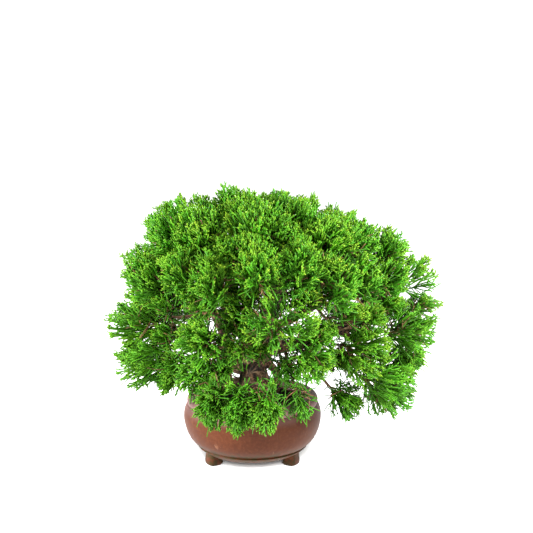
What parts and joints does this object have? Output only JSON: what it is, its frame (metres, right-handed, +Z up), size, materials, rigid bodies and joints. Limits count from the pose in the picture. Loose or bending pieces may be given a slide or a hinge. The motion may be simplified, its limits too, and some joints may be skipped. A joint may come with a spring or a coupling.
{
  "type": "chinese juniper bonsai",
  "caption": "Small juniper tree with a broad rounded crown of scale-leaved sprays, growing in a round footed clay pot.",
  "frame": {"origin": "bottom centre of the whole object's box, on the surface that the feet stand on", "axes": "+Z up, +X along the crown's longest reach, -Y towards the front of the tree"},
  "size_m": [0.3922, 0.3096, 0.3311],
  "materials": {
    "clay": "unglazed matt clay, fine grain, faint green stain near the foot",
    "soil": "damp dark potting soil, loose grains",
    "bark": "fibrous flaking bark, matt",
    "foliage": "scale-leaved shoots, satin, yellow-green at the tips",
    "mesh": "matt black plastic"
  },
  "bodies": {
    "root": {"pot": "clay", "drain_mesh": "mesh", "soil": "soil", "trunk_and_branches": "bark", "spray_back_left_1": "foliage", "spray_back_left_2": "foliage", "spray_back_low_1": "foliage", "spray_back_low_left_1": "foliage", "spray_back_low_right_1": "foliage", "spray_back_middle_1": "foliage", "spray_back_middle_2": "foliage", "spray_back_right_1": "foliage", "spray_back_right_2": "foliage", "spray_brow_left_1": "foliage", "spray_brow_middle_1": "foliage", "spray_brow_right_1": "foliage", "spray_bump_right_1": "foliage", "spray_centre_left_1": "foliage", "spray_crown_back_1": "foliage", "spray_crown_left_1": "foliage", "spray_crown_left_2": "foliage", "spray_crown_middle_1": "foliage", "spray_crown_middle_2": "foliage", "spray_crown_right_1": "foliage", "spray_crown_right_2": "foliage", "spray_far_right_1": "foliage", "spray_front_belt_1": "foliage", "spray_front_belt_2": "foliage", "spray_front_left_1": "foliage", "spray_front_left_2": "foliage", "spray_front_low_left_1": "foliage", "spray_front_low_right_1": "foliage", "spray_front_middle_1": "foliage", "spray_front_right_1": "foliage", "spray_front_right_2": "foliage", "spray_left_high_1": "foliage", "spray_left_high_2": "foliage", "spray_left_inner_1": "foliage", "spray_left_low_1": "foliage", "spray_left_low_2": "foliage", "spray_left_side_1": "foliage", "spray_left_side_2": "foliage", "spray_over_pot_1": "foliage", "spray_over_pot_2": "foliage", "spray_over_pot_3": "foliage", "spray_over_pot_right_1": "foliage", "spray_right_hanging_1": "foliage", "spray_right_hanging_2": "foliage", "spray_right_inner_1": "foliage", "spray_right_side_1": "foliage", "spray_right_side_2": "foliage", "spray_right_tassel_1": "foliage", "spray_right_upper_1": "foliage", "spray_shoulder_left_1": "foliage", "spray_shoulder_left_2": "foliage", "spray_shoulder_right_1": "foliage", "spray_shoulder_right_2": "foliage"}
  },
  "joints": []
}
